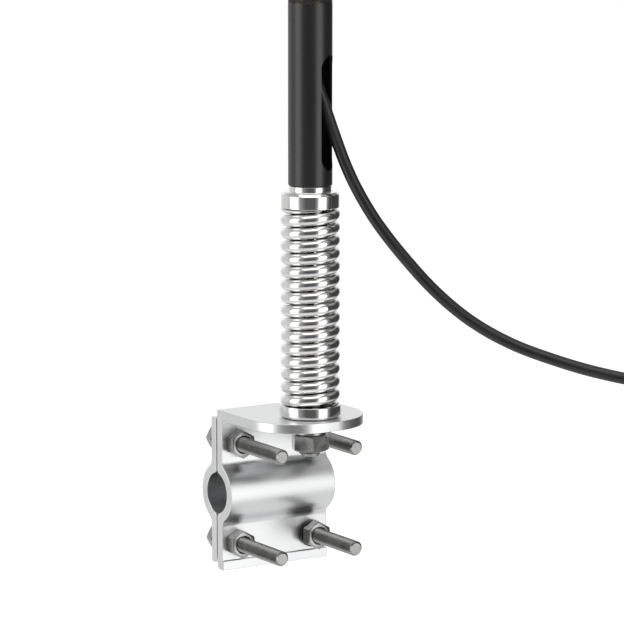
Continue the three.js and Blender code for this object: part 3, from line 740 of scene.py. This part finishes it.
def makeClampFasteners():
    seat, slip = bolts["seat"], bolts["holeSlip"]
    wide, thick = bolts["flatWasher"]
    springWide, springThick = bolts["springWasher"]
    bore = bolts["diameter"] + 0.6
    springSeat = outer + seat + thick + seat
    headSeat = springSeat + springThick + seat
    for number, (x, z) in enumerate(boltPlaces(), 1):
        forward = Matrix.Translation((x, 0, z)) @ layForward
        head = meshPart(hexBlank(bolts["headFlats"], -headSeat - bolts["headHeight"], -headSeat, ("foot",),
                                 math.pi / 6))
        shank = threadedRod(bolts["diameter"], bolts["pitch"], -headSeat - 1, bolts["length"] - headSeat)
        bolt = asObject(f"clampBolt{number}", placed(together(head, shank), forward))
        finishPiece(bolt, "rear_jaw", "plainSteel", [f"clamp_bolt_{number}"])
        flat = asObject(f"flatWasher{number}",
                        placed(ring(bore, wide, -outer - seat - thick, -outer - seat, 0.25, 64), forward))
        finishPiece(flat, "rear_jaw", "plainSteel", [f"bolt_flat_washer_{number}"])
        spring = asObject(f"headLockWasher{number}",
                          placed(lockWasher(bore, springWide, springThick, -springSeat - springThick), forward))
        finishPiece(spring, "rear_jaw", "plainSteel", [f"bolt_spring_washer_{number}"])
        nutFoot = outer + seat
        if x > 0:
            lock = asObject(f"nutLockWasher{number}",
                            placed(lockWasher(bore, springWide, springThick, nutFoot), forward))
            # These lock washers are real parts, but their near-black colour is painted shade from the nuts above
            # them.
            finishPiece(lock, "bracket", "paintedShadeSteel", [f"nut_lock_washer_{number}"])
            nutFoot += springThick + seat
        nut = makeNut(bolts["headFlats"], nutFoot, nutFoot + bolts["nutHeight"], bore)
        nut = asObject(f"clampNut{number}", placed(meshPart(nut), forward))
        finishPiece(nut, "bracket", "plainSteel", [f"clamp_nut_{number}"])


stud = {
    "diameter": 12, "pitch": 1.75, "foot": 24, "top": 59.5, "nutFlats": 18, "nutFoot": 26.8, "nutTop": 35.2,
    "nutTurn": 37, "spacerDiameter": 16.5, "spacerFoot": 35.4, "spacerTop": 39.3,
}


def makeStud():
    upsideDown = toMast @ Matrix.Rotation(math.pi, 4, "X")
    body = placed(threadedRod(stud["diameter"], stud["pitch"], -stud["top"], -stud["foot"], 1.2), upsideDown)
    finishPiece(asObject("mountingStud", body), "bracket", "plainSteel", ["mounting_stud"])
    bore = stud["diameter"] + 0.6
    spacer = placed(ring(bore, stud["spacerDiameter"], stud["spacerFoot"], stud["spacerTop"], 0.4), toMast)
    finishPiece(asObject("studSpacer", spacer), "bracket", "plainSteel", ["stud_spacer"])
    nut = makeNut(stud["nutFlats"], stud["nutFoot"], stud["nutTop"], bore, math.radians(stud["nutTurn"]))
    nut = asObject("studNut", placed(meshPart(nut), toMast))
    finishPiece(nut, "bracket", "plainSteel", ["stud_nut"])


makeClampFasteners()
makeStud()
print("fasteners made")

# Spring base

spring = {
    "foot": 51.2, "top": 153.1, "endSlip": 0.2, "diameter": 31, "wire": 6.2, "pitch": 6.66,
    "stepsPerTurn": 48, "sides": 24, "middle": 102.15, "startAngle": -73, "endWire": 0.8,
}
lowerFerrule = {"foot": 44.7, "top": 51, "diameter": 32, "edge": 1.2, "spigot": 17.4, "spigotTop": 65,
                "bore": 12.6, "boreTop": 59.7}
upperFerrule = {"spigotFoot": 139.3, "spigot": 17.4, "foot": 153.3, "flangeTop": 160, "diameter": 30.2,
                "coneTop": 161.5, "coneDiameter": 27.2, "neck": 22, "neckTop": 164.5, "insert": 19.4,
                "insertTop": 171}
braid = {"foot": 65.3, "top": 139, "radius": 1.75, "strand": 0.42, "strands": 8, "pitch": 12}


def makeFerrules():
    low = lowerFerrule
    radius = low["diameter"] / 2
    edge = low["edge"]
    profile = [
        (0, low["boreTop"]), (low["bore"] / 2, low["boreTop"]), (low["bore"] / 2, low["foot"]),
        (radius - edge, low["foot"]), (radius, low["foot"] + edge), (radius, low["top"]),
        (low["spigot"] / 2, low["top"]), (low["spigot"] / 2, low["spigotTop"]), (0, low["spigotTop"]),
    ]
    piece = asObject("lowerFerrule", placed(lathe(softCorners(profile, 0.35, False), 160), toMast))
    finishPiece(piece, "bracket", "polishedSteel", ["spring_lower_ferrule"])
    up = upperFerrule
    profile = [
        (0, up["spigotFoot"]), (up["spigot"] / 2, up["spigotFoot"]), (up["spigot"] / 2, up["foot"]),
        (up["diameter"] / 2, up["foot"]), (up["diameter"] / 2, up["flangeTop"]),
        (up["coneDiameter"] / 2, up["coneTop"]), (up["neck"] / 2, up["coneTop"]),
        (up["neck"] / 2, up["neckTop"]), (up["insert"] / 2, up["neckTop"]),
        (up["insert"] / 2, up["insertTop"]), (0, up["insertTop"]),
    ]
    piece = asObject("upperFerrule", placed(lathe(softCorners(profile, 0.4, False), 160), toMast))
    finishPiece(piece, "mast", "polishedSteel", ["spring_upper_ferrule"])


def coilHalf(name, lowEnd, highEnd, turnsBefore, turns):
    piece = grow(name, windingTree, {
        "Radius": (spring["diameter"] - spring["wire"]) / 2 * mm, "Height": (highEnd - lowEnd) * mm,
        "Turns": turns, "Foot": lowEnd * mm,
        "Start Angle": math.radians(spring["startAngle"]) + 2 * math.pi * turnsBefore,
        "Section Radius": spring["wire"] / 2 * mm, "Section Sides": spring["sides"],
        "Steps Per Turn": spring["stepsPerTurn"],
    }, "polishedSteel")
    return asObject(name, placed(meshPart(piece), toMast))


# The two ends of the coil are ground flat, square to the mast.
def makeSpring():
    groundFoot, groundTop = spring["foot"] + spring["endSlip"], spring["top"] - spring["endSlip"]
    reach = spring["wire"] / 2 - spring["endWire"]
    foot, top = groundFoot - reach, groundTop + reach
    turns = (top - foot) / spring["pitch"]
    half, middle = turns / 2, (foot + top) / 2
    lower = coilHalf("springCoilLower", foot, middle, 0, half)
    upper = coilHalf("springCoilUpper", middle, top, half, half)
    wheel = 2 * spring["diameter"]
    combine(lower, asObject("below", placed(rod(wheel, groundFoot - 8, groundFoot, 0), toMast)), "DIFFERENCE")
    combine(upper, asObject("above", placed(rod(wheel, groundTop, groundTop + 8, 0), toMast)), "DIFFERENCE")
    finishPiece(lower, None, "polishedSteel", ["spring_coil"], 60)
    finishPiece(upper, None, "polishedSteel", ["spring_coil"], 60)
    bendSpringPiece(lower)
    bendSpringPiece(upper)


def bendSpringPiece(piece):
    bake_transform(piece)


def braidHalf(name, foot, top):
    parts = [rod(2 * braid["radius"] - braid["strand"], foot, top, 0.1, 24)]
    for anticlockwise in (True, False):
        parts.append(meshPart(grow("strands", windingTree, {
            "Radius": braid["radius"] * mm, "Height": (top - foot - 0.8) * mm, "Foot": (foot + 0.4) * mm,
            "Turns": (top - foot) / braid["pitch"], "Section Radius": braid["strand"] * mm,
            "Section Sides": 6, "Section Flatness": 0.6, "Steps Per Turn": 24,
            "Strands": braid["strands"], "Anticlockwise": anticlockwise,
        }, "copperBraid")))
    return asObject(name, placed(together(*parts), toMast))


def makeBraid():
    lower = braidHalf("groundBraidLower", braid["foot"], spring["middle"])
    upper = braidHalf("groundBraidUpper", spring["middle"], braid["top"])
    finishPiece(lower, None, "copperBraid", ["ground_braid"], 50)
    finishPiece(upper, None, "copperBraid", ["ground_braid"], 50)
    bendSpringPiece(lower)
    bendSpringPiece(upper)


makeFerrules()
makeSpring()
makeBraid()
print("spring base made")

# Mast

tube = {
    "diameter": 22.8, "bore": 20, "foot": 164.7, "top": 258.4, "slotWidth": 13, "slotLength": 59,
    "slotFoot": 7.7, "slotAngle": -57, "ringFoot": 258.6, "ringTop": 259.6, "radomeFoot": 259.8,
    "radomeTop": 639.8,
}
cap = {"plugFoot": 625.8, "foot": 640, "top": 652, "hole": 3.8, "holeTop": 633.2, "plug": 19.4}
boot = {"foot": 235.5, "top": 245.7, "bore": 6.7, "tip": 7.6, "wide": 10}


def makeTubes():
    radius = tube["diameter"] / 2
    sleeve = asObject("sideExitTube", placed(
        ring(tube["bore"], tube["diameter"], tube["foot"], tube["top"], 0.5, 160), toMast))
    half, straight = tube["slotWidth"] / 2, (tube["slotLength"] - tube["slotWidth"]) / 2
    outline = arc(straight, 0, half, -90, 90, 24) + arc(-straight, 0, half, 90, 270, 24)
    turn = (toMast @ Matrix.Rotation(math.radians(tube["slotAngle"]), 4, "Z")
            @ Matrix.Translation((0, 0, tube["foot"] + tube["slotFoot"] + tube["slotLength"] / 2))
            @ Matrix.Rotation(math.pi / 2, 4, "Y"))
    combine(sleeve, asObject("slot", placed(prism(outline, 2, radius + 4), turn)), "DIFFERENCE")
    softenEdges(sleeve, 0.25, 2, 50)
    finishPiece(sleeve, "mast", "satinBlack", ["side_exit_tube"], None)
    radome = asObject("radomeTube", placed(
        ring(tube["bore"], tube["diameter"], tube["radomeFoot"], tube["radomeTop"], 0.35, 160), toMast))
    finishPiece(radome, "mast", "satinBlack", ["radome_tube"])
    seal = asObject("jointSeal", placed(
        ring(tube["bore"] + 0.2, tube["diameter"] - 0.2, tube["ringFoot"], tube["ringTop"], 0.3, 128), toMast))
    finishPiece(seal, "mast", "softRubber", ["tube_seal_ring"])


def makeCap():
    radius = tube["diameter"] / 2
    rise = cap["top"] - cap["foot"]
    profile = [(0, cap["holeTop"]), (cap["hole"] / 2, cap["holeTop"]), (cap["hole"] / 2, cap["plugFoot"]),
               (cap["plug"] / 2, cap["plugFoot"]), (cap["plug"] / 2, cap["foot"]), (radius, cap["foot"]),
               (radius, cap["foot"] + rise * 0.3), (radius - 0.35, cap["foot"] + rise * 0.32),
               (radius - 0.35, cap["foot"] + rise * 0.37), (radius, cap["foot"] + rise * 0.39)]
    level, height = cap["foot"] + rise * 0.5, rise * 0.5
    profile += [(x, level + y * height / radius) for x, y in arc(0, 0, radius, 0, 88, 20)] + [(0, cap["top"])]
    piece = asObject("tipCap", placed(lathe(softCorners(profile, 0.3, False), 128), toMast))
    finishPiece(piece, "mast", "mouldedBlack", ["radome_tip_cap"])


def makeBoot():
    bore = boot["bore"] / 2
    profile = [(bore, boot["foot"]), (boot["tip"] / 2, boot["foot"])]
    for step in range(1, 7):
        level = boot["foot"] + step * 1.1
        radius = boot["tip"] / 2 + (boot["wide"] - boot["tip"]) / 2 * step / 7
        profile += [(radius, level - 0.5), (radius - 0.3, level - 0.25)]
    profile += [(boot["wide"] / 2, boot["top"] - 3), (boot["wide"] / 2, boot["top"]), (bore, boot["top"])]
    piece = asObject("cableBoot", placed(lathe(softCorners(profile, 0.2), 64, True), toMast))
    finishPiece(piece, "mast", "softRubber", ["cable_boot"])


makeTubes()
makeCap()
makeBoot()
print("mast made")

# Parts inside the mast

innerFinishes = {
    "tube_coupler": "brightBrass", "feed_cable": "cableJacket", "ferrite_choke_1": "ferriteGrey",
    "ferrite_choke_2": "ferriteGrey", "ferrite_choke_3": "ferriteGrey", "sleeve_radiator": "brightBrass",
    "feed_insulator": "naturalPlastic", "lower_whip": "brightBrass", "upper_whip": "brightBrass",
    "foam_spacer_1": "closedFoam", "foam_spacer_2": "closedFoam", "foam_spacer_3": "closedFoam",
    "foam_spacer_4": "closedFoam",
}
former = {"foot": 502.1, "top": 535.1, "diameter": 7.6, "wire": 2, "gap": 0.4, "pitch": 4.4, "turns": 6,
          "groove": 0.5}


def smoothPlain(node, finish):
    mesh = node.data
    mesh.materials.clear()
    mesh.materials.append(finishes[finish])
    mesh.shade_smooth()
    mesh.set_sharp_from_angle(angle=math.radians(40))


def makePhasingCoil():
    low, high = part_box("coil_former")
    foot, top = low.z / mm, high.z / mm
    radius = former["diameter"] / 2
    profile = [(0, foot), (radius, foot), (radius, foot + 2), (radius - former["groove"], foot + 2.4),
               (radius - former["groove"], top - 2.4), (radius, top - 2), (radius, top), (0, top)]
    piece = asObject("coilFormer", placed(lathe(softCorners(profile, 0.2, False), 48), toMast))
    finishPiece(piece, "mast", "naturalPlastic", ["coil_former"])
    height = former["pitch"] * former["turns"]
    coil = grow("phasingCoil", windingTree, {
        "Radius": (radius + former["gap"] + former["wire"] / 2) * mm, "Height": height * mm,
        "Turns": float(former["turns"]), "Foot": (foot + top - height) / 2 * mm,
        "Section Radius": former["wire"] / 2 * 0.97 * mm, "Section Sides": 14, "Steps Per Turn": 40,
    }, "brightBrass")
    coil = asObject("phasingCoil", placed(meshPart(coil), toMast))
    finishPiece(coil, "mast", "brightBrass", ["phasing_coil"], 50)


for nodeName, finishName in innerFinishes.items():
    smoothPlain(nodes[nodeName], finishName)
makePhasingCoil()
print("inner parts made")

# Straps and connector

straps = {"thickness": 1.2, "slip": 0.5, "beltHeight": 16, "tieWidth": 5, "tieAngles": (55, 235),
          "tailTieHeight": 493, "tailAt": (-12.6, 10.3)}
connector = {
    "crimpDiameter": 7.6, "crimpFoot": 504.2, "crimpTop": 516.2, "bodyDiameter": 8.2, "bodyFoot": 516.4,
    "bodyTop": 521.4, "neckDiameter": 5.2, "neckTop": 525.4, "nutFlats": 8, "nutFoot": 521.7, "nutTop": 530.7,
    "nutLip": 1.6, "at": (-12.6, 10.3),
}


def bandOutline(rounds, grown):
    outline = []
    for x, y, radius, start, end, steps in rounds:
        outline += arc(x, y, radius + grown, start, end, steps)
    return outline


# A closed band of a given width, with softly rounded edges.
def band(rounds, width, thickness, slip):
    edge = min(thickness * 0.35, 0.35)
    layers = [(slip, -width / 2 + edge), (slip + edge, -width / 2), (slip + thickness - edge, -width / 2),
              (slip + thickness, -width / 2 + edge), (slip + thickness, width / 2 - edge),
              (slip + thickness - edge, width / 2), (slip + edge, width / 2), (slip, width / 2 - edge)]
    verts, faces = [], []
    count = len(bandOutline(rounds, 0))
    for grown, level in layers:
        verts += [(x, y, level) for x, y in bandOutline(rounds, grown)]
    for layer in range(len(layers)):
        following = (layer + 1) % len(layers)
        for i in range(count):
            j = (i + 1) % count
            faces.append((layer * count + i, layer * count + j, following * count + j, following * count + i))
    return verts, faces


def coilSides():
    half = (cable["coilPitch"] * (cable["turnsAcross"] - 1) + cable["diameter"]) / 2
    near = cable["tubeRadius"] + cable["coilGap"]
    return near, near + 2 * half, cable["coilRadius"] + half, half


def makeBelt():
    near, far, reach, _ = coilSides()
    touch = math.degrees(math.atan2(near, reach) - math.acos(cable["tubeRadius"] / math.hypot(near, reach)))
    soft = 2.2
    rounds = [
        (reach - soft, far - soft, soft, 0, 90, 8), (-reach + soft, far - soft, soft, 90, 180, 8),
        (-reach + soft, near + soft, soft, 180, 180 - touch, 6),
        (0, 0, cable["tubeRadius"], 180 - touch, 360 + touch, 30),
        (reach - soft, near + soft, soft, 360 + touch, 360, 6),
    ]
    belt = band(rounds, straps["beltHeight"], straps["thickness"], straps["slip"])
    place = toMast @ Matrix.Translation((0, 0, cable["coilHeight"]))
    piece = asObject("coilBelt", placed(belt, place))
    return finishPiece(piece, "mast", "strapWeave", ["coil_belt"], 40)


def makeCoilTie(name, node, angle):
    near, far, _, half = coilSides()
    soft = 2.4
    spots = [(half - soft, half - soft, 0), (-half + soft, half - soft, 90),
             (-half + soft, -half + soft, 180), (half - soft, -half + soft, 270)]
    rounds = [(x, y, soft, start, start + 90, 8) for x, y, start in spots]
    loop = band(rounds, straps["tieWidth"], straps["thickness"], straps["slip"])
    place = (toMast @ Matrix.Translation((0, (near + far) / 2, cable["coilHeight"]))
             @ Matrix.Rotation(-math.radians(angle), 4, "Y") @ Matrix.Translation((cable["coilRadius"], 0, 0)))
    piece = asObject(name, placed(loop, place))
    return finishPiece(piece, "mast", "mouldedBlack", [node], 40)


def makeTailTie():
    x, y = straps["tailAt"]
    tubeRadius, cableRadius = cable["tubeRadius"], cable["diameter"] / 2
    lean = math.degrees(math.atan2(y, x))
    spread = math.degrees(math.acos((tubeRadius - cableRadius) / math.hypot(x, y)))
    rounds = [(0, 0, tubeRadius, lean + spread, lean + 360 - spread, 48),
              (x, y, cableRadius, lean + 360 - spread, lean + 360 + spread, 20)]
    loop = band(rounds, straps["tieWidth"], straps["thickness"], straps["slip"])
    piece = asObject("tailTie", placed(loop, toMast @ Matrix.Translation((0, 0, straps["tailTieHeight"]))))
    return finishPiece(piece, "mast", "mouldedBlack", ["tail_tie"], 40)


def makeConnector():
    x, y = connector["at"]
    place = toMast @ Matrix.Translation((x, y, 0))
    low, high = connector["crimpFoot"], connector["crimpTop"]
    radius = connector["crimpDiameter"] / 2
    profile = [(0, low), (radius - 0.3, low), (radius, low + 0.5), (radius, low + 2), (radius - 0.35, low + 2.6),
               (radius - 0.35, high - 2.6), (radius, high - 2), (radius, high - 0.3), (0, high)]
    crimp = asObject("crimpSleeve", placed(lathe(softCorners(profile, 0.2, False), 48), place))
    finishPiece(crimp, "mast", "goldPlate", ["crimp_sleeve"])
    radius, neck = connector["bodyDiameter"] / 2, connector["neckDiameter"] / 2
    low, high, neckTop = connector["bodyFoot"], connector["bodyTop"], connector["neckTop"]
    profile = [(0, low), (radius, low), (radius, low + 1.4), (radius - 0.5, low + 1.8),
               (radius - 0.5, high - 1.6), (radius, high - 1.2), (radius, high), (neck, high), (neck, neckTop),
               (0, neckTop)]
    body = asObject("connectorBody", placed(lathe(softCorners(profile, 0.15, False), 64), place))
    finishPiece(body, "mast", "goldPlate", ["connector_body"])
    blank = hexBlank(connector["nutFlats"], connector["nutFoot"], connector["nutTop"])
    lip = connector["nutFoot"] + connector["nutLip"]
    passage = [(0, connector["nutFoot"] - 1), (neck + 0.3, connector["nutFoot"] - 1), (neck + 0.3, lip),
               (neck + 0.6, lip + 0.2), (neck + 0.6, connector["nutTop"] - 0.4),
               (neck + 1.0, connector["nutTop"]), (neck + 1.0, connector["nutTop"] + 1),
               (0, connector["nutTop"] + 1)]
    combine(blank, asObject("bore", lathe(passage, 48)), "DIFFERENCE")
    nut = asObject("couplingNut", placed(meshPart(blank), place))
    finishPiece(nut, "coupling_nut", "goldPlate", ["coupling_nut"])
    smoothPlain(nodes["connector_dielectric"], "naturalPlastic")
    smoothPlain(nodes["connector_pin"], "goldPlate")
    return [crimp, body, nut, nodes["connector_dielectric"], nodes["connector_pin"]]


onCable = [makeBelt(), makeCoilTie("coilTieTop", "coil_tie_top", straps["tieAngles"][0]),
           makeCoilTie("coilTieBottom", "coil_tie_bottom", straps["tieAngles"][1]), makeTailTie()]
onCable += makeConnector()
print("straps and connector made")

# Studio

studio = {
    "floorLevel": -0.35, "floorSize": 60, "floorShade": 0.9, "floorGlow": 0.62, "background": 1.0,
    "lamp": {"place": (-0.4, -0.6, 2.4), "size": 2.2, "power": 22},
    # Turn from the camera's side, as a share of a full turn (0 and 1 behind the object, 0.5 at the camera,
    # 0.675 to its left), and how bright the studio is there.
    "walls": [(0, 1.0), (0.06, 0.85), (0.1, 0.06), (0.27, 0.05), (0.31, 0.3), (0.33, 2.0), (0.39, 2.0),
              (0.42, 0.3), (0.45, 0.1), (0.55, 0.1), (0.62, 0.35), (0.65, 2.0), (0.71, 2.0), (0.75, 0.5),
              (0.79, 0.7), (0.86, 0.7), (0.92, 0.9), (1, 1.0)],
    "ceiling": 0.42, "table": 0.8,
}


def makeFloor():
    half = studio["floorSize"] / 2
    mesh = bpy.data.meshes.new("studioFloor")
    level = studio["floorLevel"]
    mesh.from_pydata([(-half, -half, level), (half, -half, level), (half, half, level), (-half, half, level)],
                     [], [(0, 1, 2, 3)])
    floor = bpy.data.objects.new("studioFloor", mesh)
    bpy.context.scene.collection.objects.link(floor)
    material = bpy.data.materials.new("paleFloor")
    material.use_nodes = True
    shader = material.node_tree.nodes["Principled BSDF"]
    shade = studio["floorShade"]
    shader.inputs["Base Color"].default_value = (shade, shade, shade, 1)
    shader.inputs["Roughness"].default_value = 0.95
    shader.inputs["Specular IOR Level"].default_value = 0
    shader.inputs["Emission Color"].default_value = (1, 1, 1, 1)
    shader.inputs["Emission Strength"].default_value = studio["floorGlow"]
    mesh.materials.append(material)
    floor.visible_glossy = False


def makeLamp():
    light = bpy.data.lights.new("topLamp", "AREA")
    light.size, light.energy = studio["lamp"]["size"], studio["lamp"]["power"]
    lamp = bpy.data.objects.new("topLamp", light)
    bpy.context.scene.collection.objects.link(lamp)
    lamp.location = studio["lamp"]["place"]
    lamp.rotation_euler = (Vector((0, 0, 0.05)) - lamp.location).to_track_quat("-Z", "Y").to_euler()
    lamp.visible_camera = False


# What the object mirrors: a pale backdrop behind it, two tall soft boxes in front, a pale table and a
# greyer ceiling. The camera itself sees plain white.
def makeSky():
    world = bpy.data.worlds.new("studioSky")
    bpy.context.scene.world = world
    world.use_nodes = True
    tree = world.node_tree
    background = tree.nodes["Background"]
    place = addNode(tree, "ShaderNodeTexCoord")
    mapping = addNode(tree, "ShaderNodeMapping", {
        "Vector": place.outputs["Generated"],
        "Rotation": (0, 0, -math.radians(cameraView["azimuth"])),
    })
    split = addNode(tree, "ShaderNodeSeparateXYZ", {0: mapping.outputs[0]})
    angle = calculate(tree, "ARCTAN2", split.outputs["X"], calculate(tree, "MULTIPLY", split.outputs["Y"], -1.0))
    share = calculate(tree, "ADD", calculate(tree, "DIVIDE", angle, -2 * math.pi), 0.5)
    walls = addNode(tree, "ShaderNodeValToRGB", {"Fac": share})
    stops = walls.color_ramp.elements
    for spot, shade in studio["walls"]:
        stop = stops[0] if spot == 0 else stops[-1] if spot == 1 else stops.new(spot)
        stop.color = (shade, shade, shade, 1)
    up = addNode(tree, "ShaderNodeMapRange", {
        "Value": split.outputs["Z"], "From Min": 0.35, "From Max": 0.75, "To Min": 0.0, "To Max": 1.0,
    })
    down = addNode(tree, "ShaderNodeMapRange", {
        "Value": split.outputs["Z"], "From Min": -0.35, "From Max": -0.6, "To Min": 0.0, "To Max": 1.0,
    })
    high = addNode(tree, "ShaderNodeMix", {0: up.outputs[0], 2: walls.outputs[0], 3: studio["ceiling"]})
    low = addNode(tree, "ShaderNodeMix", {0: down.outputs[0], 2: high.outputs[0], 3: studio["table"]})
    seen = addNode(tree, "ShaderNodeLightPath")
    choose = addNode(tree, "ShaderNodeMix", {
        0: seen.outputs["Is Camera Ray"], 2: low.outputs[0], 3: studio["background"],
    })
    tree.links.new(choose.outputs[0], background.inputs["Strength"])
    background.inputs["Color"].default_value = (1, 1, 1, 1)


makeLamp()
makeFloor()
makeSky()
bpy.context.scene.view_settings.view_transform = "Standard"
print("studio lit")
